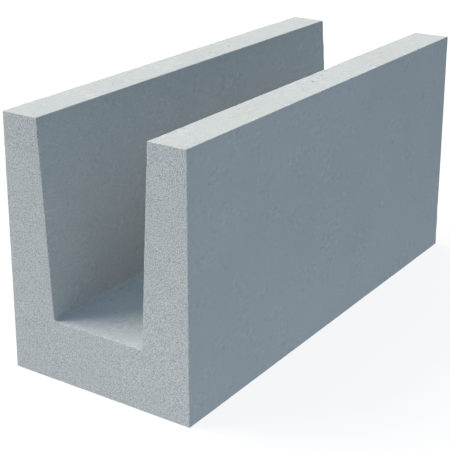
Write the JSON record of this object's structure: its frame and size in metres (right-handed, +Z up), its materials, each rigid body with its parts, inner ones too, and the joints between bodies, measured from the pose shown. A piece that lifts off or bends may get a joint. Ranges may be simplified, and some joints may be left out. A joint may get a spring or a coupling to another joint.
{
  "type": "u-shaped concrete block",
  "caption": "U-shaped aerated concrete block with a tapered open trough, laid end to end as lost formwork for a reinforced lintel or ring beam.",
  "frame": {"origin": "centre of the underside, on the bed that the block lies on", "axes": "+Z up, out of the trough's open mouth; +Y along the block's length, which is the wall's direction; +X across the wall"},
  "size_m": [0.2, 0.5, 0.25],
  "materials": {
    "aerated_concrete": "matt cool grey, coarse and pored on the cut ends, smoother on the moulded sides, with lightly worn edges"
  },
  "bodies": {
    "root": {"trough_block": "aerated_concrete"}
  },
  "joints": []
}
